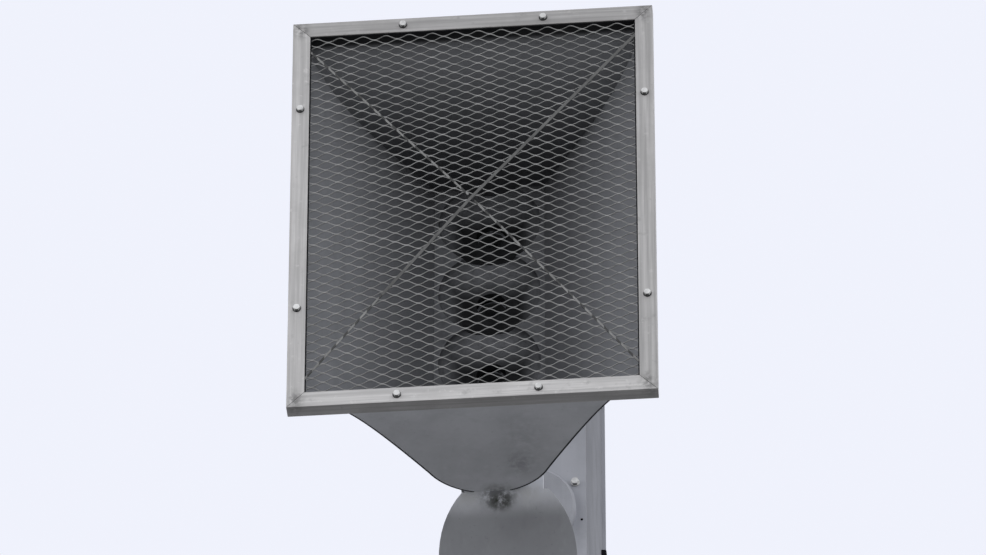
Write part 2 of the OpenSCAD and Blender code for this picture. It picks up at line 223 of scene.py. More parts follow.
class Finish:
    """A procedural material on object coordinates."""

    def __init__(self, name):
        self.mat = bpy.data.materials.new(name)
        self.mat.use_nodes = True
        self.tree = self.mat.node_tree
        self.tree.nodes.clear()
        self.out = self.add("ShaderNodeOutputMaterial")
        self.shader = self.add("ShaderNodeBsdfPrincipled")
        self.link(self.shader.outputs[0], self.out.inputs[0])
        self.place = self.add("ShaderNodeTexCoord").outputs["Object"]

    def add(self, kind, **values):
        """A new node with its settings."""
        node = self.tree.nodes.new(kind)
        for key, value in values.items():
            setattr(node, key, value)
        return node

    def link(self, a, b):
        """A link from one socket to another."""
        self.tree.links.new(a, b)

    def put(self, socket, value):
        """A link where the value is a socket, and otherwise the constant itself."""
        if isinstance(value, bpy.types.NodeSocket):
            self.link(value, socket)
        elif socket.type == "RGBA":
            socket.default_value = (*value, 1.0)
        else:
            socket.default_value = value

    def noise(self, scale, detail=4.0, rough=0.55, stretch=(1, 1, 1), seed=0.0):
        """Noise between 0 and 1, its grid stretched along the axes."""
        mapping = self.add("ShaderNodeMapping")
        self.link(self.place, mapping.inputs["Vector"])
        mapping.inputs["Scale"].default_value = stretch
        mapping.inputs["Location"].default_value = (seed, seed * 0.7, seed * 1.3)
        node = self.add("ShaderNodeTexNoise")
        self.link(mapping.outputs[0], node.inputs["Vector"])
        node.inputs["Scale"].default_value = scale
        node.inputs["Detail"].default_value = detail
        node.inputs["Roughness"].default_value = rough
        return node.outputs["Fac"]

    def range(self, value, low, high, to_low=0.0, to_high=1.0, smooth=True):
        """A value carried from one range into another."""
        node = self.add("ShaderNodeMapRange")
        node.interpolation_type = "SMOOTHSTEP" if smooth else "LINEAR"
        self.put(node.inputs["Value"], value)
        for name, v in (("From Min", low), ("From Max", high), ("To Min", to_low), ("To Max", to_high)):
            node.inputs[name].default_value = v
        return node.outputs["Result"]

    def math(self, kind, a, b=0.0):
        """One sum on one or two values."""
        node = self.add("ShaderNodeMath", operation=kind)
        for socket, value in zip(node.inputs, (a, b)):
            self.put(socket, value)
        return node.outputs[0]

    def mix(self, share, a, b):
        """Two colours mixed by a share."""
        node = self.add("ShaderNodeMix", data_type="RGBA")
        self.put(node.inputs[0], share)
        self.put(node.inputs[6], a)
        self.put(node.inputs[7], b)
        return node.outputs[2]

    def times(self, color, factor):
        """A colour times a value."""
        node = self.add("ShaderNodeVectorMath", operation="SCALE")
        self.link(color, node.inputs[0])
        self.link(factor, node.inputs["Scale"])
        return node.outputs[0]

    def axes(self):
        """The object coordinates, one by one."""
        node = self.add("ShaderNodeSeparateXYZ")
        self.link(self.place, node.inputs[0])
        return node.outputs

    def facing(self):
        """The parts of the surface's own normal along the object's axes."""
        node = self.add("ShaderNodeSeparateXYZ")
        self.link(self.add("ShaderNodeTexCoord").outputs["Normal"], node.inputs[0])
        return node.outputs

    def hypotenuse(self, a, b):
        """The length of the hypotenuse over two values."""
        squares = [self.math("MULTIPLY", v, v) for v in (a, b)]
        return self.math("SQRT", self.math("ADD", *squares))

    def near(self, centre, size):
        """1 at a centre in metres, falling to 0 at the distances in size."""
        mapping = self.add("ShaderNodeMapping")
        mapping.vector_type = "TEXTURE"
        self.link(self.place, mapping.inputs["Vector"])
        mapping.inputs["Location"].default_value = centre
        mapping.inputs["Scale"].default_value = size
        length = self.add("ShaderNodeVectorMath", operation="LENGTH")
        self.link(mapping.outputs[0], length.inputs[0])
        return self.range(length.outputs["Value"], 1.0, 0.0)

    def bump(self, height, strength, distance):
        """Fine relief on the shader's normal."""
        node = self.add("ShaderNodeBump")
        self.put(node.inputs["Height"], height)
        node.inputs["Strength"].default_value = strength
        node.inputs["Distance"].default_value = distance
        self.link(node.outputs[0], self.shader.inputs["Normal"])

    def set(self, **values):
        """Values on the shader's own sockets."""
        names = {
            "color": "Base Color", "rough": "Roughness",
            "metal": "Metallic", "specular": "Specular IOR Level",
        }
        for key, value in values.items():
            self.put(self.shader.inputs[names[key]], value)
        return self


def shade(color, factor):
    """A colour made lighter or darker by a factor."""
    return tuple(c * factor for c in color)


def paint(name, color, streak, marks=(), sides=1.0, painted_light_band=None):
    """Matt paint: broad mottling, streaks run down by rain, fine specks and marks, each mark with its
    centre, reach, colour and share; the marks are stains, and on the plate also painted shade and painted
    highlights. The faces that look left and right are darkened to a share as painted shade, and the last
    argument says how far from the mouth's middle height a paler tone of painted light holds, where it
    ends, and how pale it is."""
    f = Finish(name)
    broad = f.range(f.noise(3.2, 5), 0.3, 0.7)
    tone = f.mix(broad, shade(color, 0.88), shade(color, 1.1))
    patches = f.range(f.noise(13.0, 6, 0.6, seed=3.0), 0.42, 0.72)
    tone = f.mix(f.math("MULTIPLY", patches, 0.6), tone, shade(color, 0.8))
    runs = f.range(f.noise(1.0, 5, 0.6, (38, 38, 1.1), 7.0), 0.5, 0.72)
    tone = f.mix(f.math("MULTIPLY", runs, streak), tone, shade(color, 0.72))
    washed = f.range(f.noise(1.0, 4, 0.5, (60, 60, 2.0), 11.0), 0.56, 0.74)
    tone = f.mix(f.math("MULTIPLY", washed, streak * 0.8), tone, shade(color, 1.22))
    specks = f.range(f.noise(210, 2, 0.5, seed=5.0), 0.66, 0.74)
    tone = f.mix(f.math("MULTIPLY", specks, 0.35), tone, shade(color, 0.6))
    # painted light: a paler band round the mouth's middle height
    if painted_light_band:
        hold, end, pale = painted_light_band
        rise = f.math("ABSOLUTE", f.math("SUBTRACT", f.axes()[2], float(MOUTH[2])))
        tone = f.times(tone, f.range(rise, hold, end, pale, 1.0))
    # marks: stains, and painted shade and painted highlights where a caller gives them
    for centre, size, mark_colour, share in marks:
        ragged = f.range(f.noise(70, 6, 0.65, seed=2.0), 0.3, 0.62)
        amount = f.math("MULTIPLY", f.near(centre, size), f.math("MULTIPLY", ragged, share))
        tone = f.mix(amount, tone, mark_colour)
    # painted shade: the faces that look left and right are darkened to a share
    if sides != 1.0:
        tone = f.times(tone, f.range(f.math("ABSOLUTE", f.facing()[0]), 0.4, 0.9, 1.0, sides))
    grain = f.noise(320, 4, 0.6)
    f.set(color=tone, rough=f.range(broad, 0, 1, 0.72, 0.86), specular=0.0)
    f.bump(grain, 0.06, 0.0006)
    return f.mat


def mill_metal(name, color, lengthwise, metal=0.06, rough=0.5, under=0.5, marks=(), dash=0.0):
    """Weathered rolled metal: fine lines along one axis, dull patches, dark spots and pale scuffs. The
    faces that look down are darkened to a share as painted shade, grime gathers at the marks, and dash
    darkens every other stretch between the mesh's strands."""
    f = Finish(name)
    lines = f.noise(1.0, 4, 0.6, lengthwise, 1.0)
    tone = f.mix(f.range(lines, 0.32, 0.68), shade(color, 0.8), shade(color, 1.13))
    dull = f.range(f.noise(14, 6, 0.6, seed=4.0), 0.4, 0.7)
    tone = f.mix(f.math("MULTIPLY", dull, 0.45), tone, shade(color, 0.78))
    dark = f.range(f.noise(46, 5, 0.65, seed=9.0), 0.58, 0.75)
    tone = f.mix(f.math("MULTIPLY", dark, 0.5), tone, shade(color, 0.5))
    scuff = f.range(f.noise(75, 5, 0.6, seed=6.0), 0.6, 0.72)
    tone = f.mix(f.math("MULTIPLY", scuff, 0.4), tone, shade(color, 1.3))
    for centre, size in marks:
        ragged = f.range(f.noise(90, 6, 0.65, seed=2.0), 0.35, 0.6)
        tone = f.mix(f.math("MULTIPLY", f.near(centre, size), ragged), tone, shade(color, 0.35))
    if dash:
        wave = f.math("SINE", f.math("MULTIPLY", f.axes()[0], 4 * math.pi / (MESH_LONG * MM)))
        tone = f.mix(f.math("MULTIPLY", f.range(wave, 0.0, 0.5), dash), tone, shade(color, 0.2))
    # painted shade: the faces that look down are darkened to a share
    tone = f.times(tone, f.range(f.facing()[2], -0.9, -0.4, under, 1.0))
    f.set(color=tone, metal=metal, rough=f.range(dull, 0, 1, rough, rough + 0.16), specular=0.2)
    f.bump(lines, 0.08, 0.0004)
    return f.mat


def zinc(name, color):
    """Galvanised steel: flat crystals of differing brightness with a dull bloom."""
    f = Finish(name)
    cells = f.add("ShaderNodeTexVoronoi")
    f.link(f.place, cells.inputs["Vector"])
    cells.inputs["Scale"].default_value = 75.0
    crystal = f.add("ShaderNodeSeparateColor")
    f.link(cells.outputs["Color"], crystal.inputs[0])
    tone = f.mix(f.range(crystal.outputs[0], 0, 1, smooth=False), shade(color, 0.85), shade(color, 1.1))
    bloom = f.range(f.noise(7.0, 6, 0.6), 0.42, 0.7)
    tone = f.mix(f.math("MULTIPLY", bloom, 0.5), tone, shade(color, 1.25))
    f.set(color=tone, metal=0.4, rough=f.range(crystal.outputs[1], 0, 1, 0.4, 0.55, False))
    f.bump(f.noise(240, 3), 0.05, 0.0004)
    return f.mat


def casting(name, color):
    """Cast alloy under dull enamel: a pebbled surface with rubbed patches."""
    f = Finish(name)
    pebble = f.noise(160, 3, 0.5)
    worn = f.range(f.noise(18, 5, 0.6, seed=2.0), 0.52, 0.75)
    tone = f.mix(f.range(f.noise(5, 4), 0.3, 0.7), shade(color, 0.88), shade(color, 1.1))
    tone = f.mix(f.math("MULTIPLY", worn, 0.5), tone, shade(color, 1.45))
    f.set(color=tone, rough=f.range(worn, 0, 1, 0.6, 0.45), metal=0.15)
    f.bump(pebble, 0.25, 0.0008)
    return f.mat


GREY_PAINT = (0.415, 0.424, 0.462)
HORN_GREY = (0.366, 0.374, 0.398)
ALUMINIUM = (0.57, 0.56, 0.555)
MESH_GREY = (0.28, 0.28, 0.275)
MOSS = (0.075, 0.078, 0.066)
PAINTED_HIGHLIGHT = (0.66, 0.67, 0.69)
BEND = (HORN_DEPTH + 4, -REAR_HALF_H - 6)

# The mast's faces that look left and right are darkened: painted shade.
mast_paint = paint("mast_paint", GREY_PAINT, streak=0.2, sides=0.62)
box_paint = paint("box_paint", shade(GREY_PAINT, 0.9), streak=0.2)
horn_paint = paint("horn_paint", shade(HORN_GREY, 1.25), streak=0.25, marks=[
    (tuple(at_mouth((8, HORN_DEPTH + 2, -REAR_HALF_H - 4))), (0.045, 0.035, 0.03), MOSS, 0.7),
    (tuple(at_mouth((50, 318, -REAR_HALF_H))), (0.04, 0.045, 0.02), shade(HORN_GREY, 0.5), 0.55),
    (tuple(at_mouth((64, 250, -REAR_HALF_H))), (0.06, 0.13, 0.03), shade(HORN_GREY, 0.55), 0.3),
    (tuple(at_mouth((-20, 230, -REAR_HALF_H))), (0.05, 0.05, 0.03), shade(HORN_GREY, 1.3), 0.6),
])
# The plate's paint is a darker copy of the horn's grey as painted shade, with a paler band of painted
# light on the neck round the mouth's middle height.
plate_paint = paint("plate_paint", shade(HORN_GREY, 1.02), streak=0.3, marks=[
    # painted shade: a near-black strip where the horn's tip meets the plate
    (tuple(at_mouth((0, HORN_DEPTH + 2, 0))), (0.034, 0.0055, 0.4), (0.015, 0.015, 0.015), 4.0),
    # painted highlights: pale patches on the lit left part and the right edge of the plate's bend
    (tuple(at_mouth((-40, *BEND))), (0.036, 0.04, 0.034), PAINTED_HIGHLIGHT, 1.2),
    (tuple(at_mouth((60, *BEND))), (0.036, 0.04, 0.030), PAINTED_HIGHLIGHT, 0.9),
    (tuple(at_mouth((10, *BEND))), (0.044, 0.045, 0.036), shade(HORN_GREY, 0.8), 2.0),
    (tuple(at_mouth((13, HORN_DEPTH + 8, -REAR_HALF_H - 15))), (0.030, 0.03, 0.020), MOSS, 1.2),
], painted_light_band=(0.304, 0.340, 2.1))
# Near-black paint for the horn's corner beads: painted shade along the sheet edges.
seam_shade = paint("seam_shade", shade(HORN_GREY, 0.16), streak=0.3)


def inside_paint(name, color):
    """The horn's inner paint: rain streaks, painted light and shade that make the lower half paler and
    the upper half darker, painted shade that deepens from the mouth back to the throat, and a dark line
    of painted shade behind the mouth frame."""
    f = Finish(name)
    broad = f.range(f.noise(3.0, 5), 0.3, 0.7)
    tone = f.mix(broad, shade(color, 0.93), shade(color, 1.07))
    runs = f.range(f.noise(1.0, 5, 0.6, (30, 30, 2.0), 7.0), 0.5, 0.72)
    tone = f.mix(f.math("MULTIPLY", runs, 0.3), tone, shade(color, 0.75))
    _, depth, height = f.axes()
    # painted light and shade: paler low, darker high
    tone = f.times(tone, f.range(height, MOUTH[2] - 0.38, MOUTH[2] + 0.38, 1.14, 0.86))
    # painted shade: darker from the mouth back to the throat
    depth_shade = f.range(depth, MOUTH[1] + 0.05, MOUTH[1] + 0.34)
    tone = f.mix(f.math("MULTIPLY", depth_shade, 0.75), tone, shade(color, 0.38))
    # painted shade: a dark line just behind the mouth frame
    rim_shade = f.range(depth, MOUTH[1] + 0.031, MOUTH[1] + 0.025)
    tone = f.mix(f.math("MULTIPLY", rim_shade, 0.85), tone, shade(color, 0.12))
    f.set(color=tone, rough=0.85, specular=0.0)
    f.bump(f.noise(320, 4, 0.6), 0.06, 0.0006)
    return f.mat


def throat_shade(name, color):
    """The bowls' paint: inside each bowl's circle painted shade fills the part below the middle and thins
    out above it, the flat round the bowls keeps one tone, and the block's outer arc keeps the horn's."""
    f = Finish(name)
    across, along, height = f.axes()
    up = f.math("DIVIDE", f.math("SUBTRACT", height, float(MOUTH[2])), DRIVER_PITCH * MM)
    local = f.math("SUBTRACT", f.math("FRACT", f.math("ADD", up, 8.0)), 0.5)
    side = f.math("DIVIDE", f.math("SUBTRACT", across, float(MOUTH[0])), DRIVER_PITCH * MM)
    flat = f.range(f.hypotenuse(local, side), 0.555, 0.585)
    depth = f.math("SUBTRACT", along, float(MOUTH[1] + BLOCK_MIDDLE * MM))
    far = f.math("SUBTRACT", across, float(MOUTH[0]))
    outside = f.range(f.hypotenuse(far, depth), (BLOCK_RADIUS - 3) * MM, (BLOCK_RADIUS - 1.5) * MM)
    beside = f.range(f.math("ABSOLUTE", side), 0.3, 0.56, 0.0, 0.7)
    # painted shade: each bowl is near black below its middle
    lit_share = f.math("MAXIMUM", f.range(local, 0.02, 0.5), beside)
    tone = f.mix(lit_share, shade(color, 0.08), shade(color, 1.05))
    tone = f.mix(flat, tone, shade(color, 0.66))
    mottle = f.range(f.noise(40, 5, 0.6), 0.35, 0.7)
    tone = f.mix(f.math("MULTIPLY", mottle, 0.35), tone, shade(color, 0.2))
    tone = f.mix(outside, tone, shade(HORN_GREY, 1.2))
    f.set(color=tone, rough=0.85, specular=0.0)
    f.bump(f.noise(200, 4, 0.6), 0.08, 0.0006)
    return f.mat


# The horn's inside and the throat block take darker copies of the horn's grey: painted shade.
inner_paint = inside_paint("inner_paint", shade(HORN_GREY, 0.69))
throat_paint = throat_shade("throat_paint", shade(HORN_GREY, 0.6))
bar_finish = {
    name: mill_metal(name + "_metal", shade(ALUMINIUM, tone), run, marks=[
        (tuple(at_mouth((x * (MOUTH_W / 2 - 14), 4, z * (MOUTH_H / 2 - 14)))), (0.022, 0.03, 0.03))
        for x in (-1, 1) for z in (-1, 1)
    ])
    for name, tone, run in (
        ("frame_top", 0.68, (4, 160, 160)), ("frame_bottom", 0.99, (4, 160, 160)),
        ("frame_left", 0.92, (160, 160, 4)), ("frame_right", 0.76, (160, 160, 4)),
    )
}
EVEN, FINE, FINEST = (30, 30, 30), (40, 40, 40), (60, 60, 60)
mesh_metal = mill_metal("mesh_metal", MESH_GREY, EVEN, metal=0.15, rough=0.55)
strip_metal = mill_metal("strip_metal", shade(MESH_GREY, 0.46), FINE, metal=0.1, rough=0.65)
dashed_metal = mill_metal("dashed_metal", shade(MESH_GREY, 0.85), FINE, metal=0.1, rough=0.65, dash=0.9)
# The bolts' downward faces are darkened strongly: painted shade.
steel = mill_metal("bolt_steel", (0.74, 0.74, 0.73), FINEST, metal=0.15, rough=0.35, under=0.3)
dull_steel = mill_metal("dull_steel", (0.42, 0.42, 0.42), FINEST, metal=0.15, rough=0.45)
# Near-black washers: painted shade round each frame bolt.
washer_shade = mill_metal("washer_shade_steel", (0.06, 0.06, 0.06), FINEST, metal=0.4, rough=0.5)
zinc_coat = zinc("zinc_coat", (0.42, 0.425, 0.43))
driver_enamel = casting("driver_enamel", (0.13, 0.135, 0.14))
# Near black: rubber of the mast clip and plug, and painted shade on the frame's inner strips.
black_rubber_and_shade = paint("black_rubber_and_shade", (0.014, 0.014, 0.016), streak=0.2)

FINISH_OF_SLOT = {
    "galvanised_steel": zinc_coat, "mast_paint": mast_paint, "horn_paint": horn_paint,
    "frame_aluminium": bar_finish["frame_top"], "guard_mesh": mesh_metal, "driver_casting": driver_enamel,
}
for row in frame["record"]["subparts"]:
    NODES[row["node"]].data.materials.clear()
    NODES[row["node"]].data.materials.append(FINISH_OF_SLOT[row["material_slot"]])
for name, finish in (
    ("throat_block", throat_paint), ("back_plate", plate_paint), ("lower_paddle", plate_paint),
    ("upper_paddle", plate_paint), ("junction_box", box_paint),
):
    NODES[name].data.materials[0] = finish


# Mouth frame


def mitred_bar(length, gap=0.5, ease=1.0):
    """An angle bar along x, its outer edge at z = 0: an L profile with eased corners carried from mitre
    to mitre, where each end draws in by the profile's own distance from the outer edge."""
    d, f, t = FRAME_DEPTH, FRAME_FACE, FRAME_T
    corners = [(0, 0), (d, 0), (d, -t), (t, -t), (t, -f), (0, -f)]
    easing = [ease, ease, ease, 0.8, ease, ease]
    ring = []
    for i, ((y, z), e) in enumerate(zip(corners, easing)):
        before = np.array(corners[i - 1]) - (y, z)
        after = np.array(corners[(i + 1) % 6]) - (y, z)
        p0 = np.array((y, z)) + before / np.linalg.norm(before) * e
        p1 = np.array((y, z)) + after / np.linalg.norm(after) * e
        s = np.linspace(0, 1, 4)[:, None]
        ring.append((1 - s) ** 2 * p0 + 2 * s * (1 - s) * np.array((y, z)) + s ** 2 * p1)
    ring = np.concatenate(ring)
    end = length / 2 + ring[:, 1] - gap
    share = np.linspace(-1, 1, 9)
    rows = np.stack(
        [share[:, None] * end, 0 * share[:, None] + ring[:, 0], 0 * share[:, None] + ring[:, 1]], axis=-1
    )
    return tube(rows)


for name, length, reach, turn in (
    ("frame_top", MOUTH_W, MOUTH_H / 2, 0), ("frame_bottom", MOUTH_W, MOUTH_H / 2, 180),
    ("frame_left", MOUTH_H, MOUTH_W / 2, -90), ("frame_right", MOUTH_H, MOUTH_W / 2, 90),
):
    points, faces = mitred_bar(length)
    spin = np.array(Matrix.Rotation(math.radians(turn), 3, "Y"))
    points = at_mouth((points + (0, 0, reach)) @ spin.T)
    outward(piece(name + "_bar", (points, faces), bar_finish[name], (name,)))

bolt_x = MOUTH_W / 2 - FRAME_FACE / 2
bolt_z = MOUTH_H / 2 - FRAME_FACE / 2
bolt_places = [
    (-116, bolt_z), (118, bolt_z), (-121, -bolt_z), (108, -bolt_z),
    (-bolt_x, 216), (-bolt_x, -200), (bolt_x, 214), (bolt_x, -206),
]
WASHER_T = 1.4
frame_washer = turned([(0, 0), (7.0, 0), (7.0, 1.0), (6.6, WASHER_T), (0, WASHER_T)], 28)
bolts, washers = [], []
for x, z in bolt_places:
    place = at_mouth((x, 0, z))
    washers.append(turned_to(frame_washer, place, FRONT))
    bolts.append(turned_to(hexagon(10, 4.6, WASHER_T), place, FRONT))
outward(piece("frame_bolts", joined(bolts), steel))
# near-black washers: painted shade round the frame bolts
outward(piece("frame_washers", joined(washers), washer_shade))


# Guard


def guard_depth(x, z):
    """Depth of the creased mesh: its edge's depth less the rise times one minus the larger of the two
    shares of the way out to the edges."""
    share = np.maximum(np.abs(x) / GUARD_HALF_W, np.abs(z) / GUARD_HALF_H)
    return GUARD_EDGE_Y - GUARD_RISE * (1 - share)


def guard_weave(strand_w=1.45, strand_t=1.1, twist=0.5):
    """Expanded metal: each strand runs across as a sine wave, its neighbours in opposite phase so that
    they meet at the bonds, and its flat section twists to and fro between the bonds."""
    half_pitch = MESH_SHORT / 2
    count = int(GUARD_HALF_H / half_pitch)
    k = np.arange(-count, count + 1)[:, None]
    x = np.linspace(-GUARD_HALF_W, GUARD_HALF_W, 217)[None, :]
    phase = 2 * np.pi * x / MESH_LONG + np.pi * k
    reach = half_pitch / 2 - 0.4 * strand_w
    z = half_pitch * k + reach * np.sin(phase)
    slope = reach * np.cos(phase) * 2 * np.pi / MESH_LONG
    inside = np.clip(z, -GUARD_HALF_H, GUARD_HALF_H)
    y = guard_depth(x + 0 * z, inside)
    lean = twist * np.cos(phase)
    length = np.sqrt(1 + slope ** 2)
    side = np.stack([-slope / length, 0 * slope, 1 / length], axis=-1)
    back = np.array([0.0, 1.0, 0.0])
    across = side * np.cos(lean)[..., None] + back * np.sin(lean)[..., None]
    through = back * np.cos(lean)[..., None] - side * np.sin(lean)[..., None]
    middle = np.stack([x + 0 * z, y + GUARD_T / 2, inside], axis=-1)
    corners = np.array([(-1, -1), (1, -1), (1, 1), (-1, 1)]) * (strand_w / 2, strand_t / 2)
    rings = (
        middle[:, :, None] + across[:, :, None] * corners[None, None, :, :1]
        + through[:, :, None] * corners[None, None, :, 1:]
    )
    return joined([tube(row) for row in rings])


guard_nodes = ("guard_top", "guard_bottom", "guard_left", "guard_right")
points, faces = guard_weave()
outward(piece("guard_weave", (at_mouth(points), faces), mesh_metal, guard_nodes, 60))


def crease_strip(start, stop, width, thick, sink):
    """A flat strip laid along a crease: a rectangle carried over the guard's surface along the straight
    line between two points of the mouth's plane."""
    s = np.linspace(0, 1, 61)[:, None]
    flat = np.asarray(start) * (1 - s) + np.asarray(stop) * s
    path = np.stack([flat[:, 0], guard_depth(flat[:, 0], flat[:, 1]) + sink, flat[:, 1]], axis=-1)
    profile = np.array([(-1, -1), (1, -1), (1, 1), (-1, 1)]) * (width / 2, thick / 2)
    return swept(path, profile, FRONT)


STRIP_T, STRIP_WIDE, STRIP_NARROW = 1.2, 5.0, 3.4
w, h = GUARD_HALF_W - 4, GUARD_HALF_H - 28
points, faces = crease_strip((w, h), (-0.5 * w, -0.5 * h), STRIP_WIDE, STRIP_T, 0.2)
outward(piece("guard_crease", (at_mouth(points), faces), strip_metal))
points, faces = joined([
    crease_strip((-w, -h), (-0.5 * w, -0.5 * h), STRIP_NARROW, STRIP_T, 0.4),
    crease_strip((-w, h), (-5, 6.5), STRIP_NARROW, STRIP_T, 0.6),
    crease_strip((w, -h), (5, -6.5), STRIP_NARROW, STRIP_T, 0.6),
])
outward(piece("guard_creases", (at_mouth(points), faces), dashed_metal))

# Near-black strips along the frame's inner edges: painted shade under the bars.
inner_w, inner_h = MOUTH_W / 2 - FRAME_FACE, MOUTH_H / 2 - FRAME_FACE
SHADE_STRIP_FRONT, SHADE_STRIP_BACK, SHADE_STRIP_HALF, SHADE_STRIP_EDGE = FRAME_T + 0.2, FRAME_T + 1.6, 2, 0.5
shade_strips = [
    box_solid((x - SHADE_STRIP_HALF, SHADE_STRIP_FRONT, -inner_h), (x + SHADE_STRIP_HALF, SHADE_STRIP_BACK, inner_h), SHADE_STRIP_EDGE)
    for x in (-inner_w, inner_w)
] + [
    box_solid((-inner_w, SHADE_STRIP_FRONT, z - SHADE_STRIP_HALF), (inner_w, SHADE_STRIP_BACK, z + SHADE_STRIP_HALF), SHADE_STRIP_EDGE)
    for z in (-inner_h, inner_h)
]
points, faces = joined(shade_strips)
outward(piece("frame_shade_strips", (at_mouth(points), faces), black_rubber_and_shade))


# Horn


def half_height(y):
    """Outer half height: the rear's plus the mouth's excess times the share left to the back, raised to
    the flare."""
    share = 1 - (y - RIM_Y) / (HORN_DEPTH - RIM_Y)
    return REAR_HALF_H + (GUARD_HALF_H - REAR_HALF_H) * np.clip(share, 0, 1) ** HEIGHT_FLARE


def half_width(y):
    """Outer half width: a flare from the rim to the throat block, then the arc of the block's back."""
    share = 1 - (y - RIM_Y) / (THROAT_Y - RIM_Y)
    flare = THROAT_W / 2 + (GUARD_HALF_W - THROAT_W / 2) * np.clip(share, 0, 1) ** WIDTH_FLARE
    arc = np.sqrt(np.maximum(BLOCK_RADIUS ** 2 - (y - BLOCK_MIDDLE) ** 2, 0))
    return np.where(y <= THROAT_Y, flare, arc)


def slab(outer, inner):
    """A closed sheet between two grids of points with the same shape."""
    n, m = outer.shape[:2]
    ring = np.concatenate([
        np.arange(m), np.arange(1, n) * m + m - 1, (n - 1) * m + np.arange(m - 2, -1, -1),
        np.arange(n - 2, 0, -1) * m
    ])
    nxt = np.roll(ring, -1)
    size = n * m
    edge = np.stack([ring, ring + size, nxt + size, nxt], axis=-1)
    inside = grid_faces(n, m, start=size)[:, ::-1]
    points = np.concatenate([outer.reshape(-1, 3), inner.reshape(-1, 3)])
    return points, [grid_faces(n, m), inside, edge]


def flat_sheet(sign):
    """Top or bottom of the horn: x is the half width at each depth times a share, z the half height."""
    y = RIM_Y + (HORN_DEPTH - RIM_Y) * np.linspace(0, 1, 61)[:, None]
    share = np.linspace(-1, 1, 41)[None, :]
    x = half_width(y) * share
    z = half_height(y)
    slope = np.gradient(z[:, 0], y[:, 0])[:, None]
    inner = z - SHEET_T * np.sqrt(1 + slope ** 2)
    outer_grid = np.stack([x, y + 0 * x, sign * (z + 0 * x)], axis=-1)
    inner_grid = np.stack([x, y + 0 * x, sign * (inner + 0 * x)], axis=-1)
    return slab(outer_grid, inner_grid)


def side_sheet(sign):
    """Side of the horn: x is the half width at each depth, z a share of the half height inside the top
    and bottom sheets."""
    y = RIM_Y + (THROAT_Y - RIM_Y) * np.linspace(0, 1, 41)[:, None]
    share = np.linspace(-1, 1, 31)[None, :]
    x = half_width(y)
    z = half_height(y)
    slope_z = np.gradient(z[:, 0], y[:, 0])[:, None]
    slope_x = np.gradient(x[:, 0], y[:, 0])[:, None]
    height = (z - SHEET_T * np.sqrt(1 + slope_z ** 2)) * share
    inner = x - SHEET_T * np.sqrt(1 + slope_x ** 2)
    outer_grid = np.stack([sign * (x + 0 * height), y + 0 * height, height], axis=-1)
    inner_grid = np.stack([sign * (inner + 0 * height), y + 0 * height, height], axis=-1)
    return slab(outer_grid, inner_grid)


for name, solid in (
    ("horn_top", flat_sheet(1)), ("horn_bottom", flat_sheet(-1)),
    ("horn_left", side_sheet(-1)), ("horn_right", side_sheet(1)),
):
    points, faces = solid
    sheet = outward(piece(name + "_sheet", (at_mouth(points), faces), horn_paint, (name,)))
    sheet.data.materials.append(inner_paint)
    inside = np.concatenate(faces).min(axis=1) >= len(points) // 2
    sheet.data.polygons.foreach_set("material_index", inside.astype(np.int32))


def seam_bead(sign_x, sign_z, radius):
    """A weld bead along an outer corner of the horn: a circle carried along the corner's curve."""
    y = RIM_Y + 3 + (HORN_DEPTH - RIM_Y - 3) * np.linspace(0, 1, 90)
    path = np.stack([sign_x * half_width(y), y, sign_z * (half_height(y) - SHEET_T * 0.6)], axis=-1)
    return swept(path, circle(radius), UP)


# beads in near-black paint: painted shade along the horn's corners
beads = [seam_bead(sx, sz, 2.4) for sx in (-1, 1) for sz in (-1, 1)]
points, faces = joined(beads)
outward(piece("horn_beads", (at_mouth(points), faces), seam_shade))

neck_low, neck_high = (np.array(v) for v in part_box("back_plate"))
PADDLE_TILT = math.radians(33.0)


def bend_strip(sign, proud=1.0, radius=22.0, reach=30.0):
    """The rounded outside of the plate's bend: an arc tangent to both faces at a small height above them,
    eased down to each face at its ends, and carried across the plate's width."""
    half = PADDLE_TILT / 2
    middle = (radius - proud) / math.cos(half) * np.array([math.cos(half), math.sin(half)])
    a = np.linspace(0, PADDLE_TILT, 13)
    arc = middle - radius * np.stack([np.cos(a), np.sin(a)], axis=-1)
    down = np.array([math.sin(PADDLE_TILT), -math.cos(PADDLE_TILT)])
    out = np.array([-math.cos(PADDLE_TILT), -math.sin(PADDLE_TILT)])
    ring = np.concatenate([
        [(-0.05, reach)], arc, [down * reach + out * 0.05, down * reach - out, (1.2, 0.4), (1.0, reach)]
    ])
    x = np.linspace(neck_low[0], neck_high[0], 25)
    edge = neck_low[2] if sign < 0 else neck_high[2]
    rows = np.stack([
        x[:, None] + 0 * ring[:, 0], neck_low[1] + MM * ring[:, 0] + 0 * x[:, None],
        edge - sign * MM * ring[:, 1] + 0 * x[:, None],
    ], axis=-1)
    return tube(rows)


outward(piece("bend_strips", joined([bend_strip(-1), bend_strip(1)]), plate_paint))


# Mast fittings

mast_x = (MAST_LOW[0] + MAST_HIGH[0]) / 2
front_y = MAST_LOW[1]


def hex_bolt(place, axis, across, head=0.5):
    """A washer and a hexagon head of a width across flats in millimetres, standing on a face."""
    thick = across * 0.1
    washer = turned([(0, 0), (across * 0.66, 0), (across * 0.66, thick), (0, thick)], 32)
    return [turned_to(washer, place, axis), turned_to(hexagon(across, across * head, thick), place, axis)]


MAST_BOLT_X, MAST_BOLT_Z = 0.083, MOUTH[2] + 0.049
mast_bolts = []
for x in (mast_x + MAST_BOLT_X, mast_x - MAST_BOLT_X):
    mast_bolts += hex_bolt((x, front_y, MAST_BOLT_Z), FRONT, 12)
outward(piece("mast_bolts", joined(mast_bolts), steel))

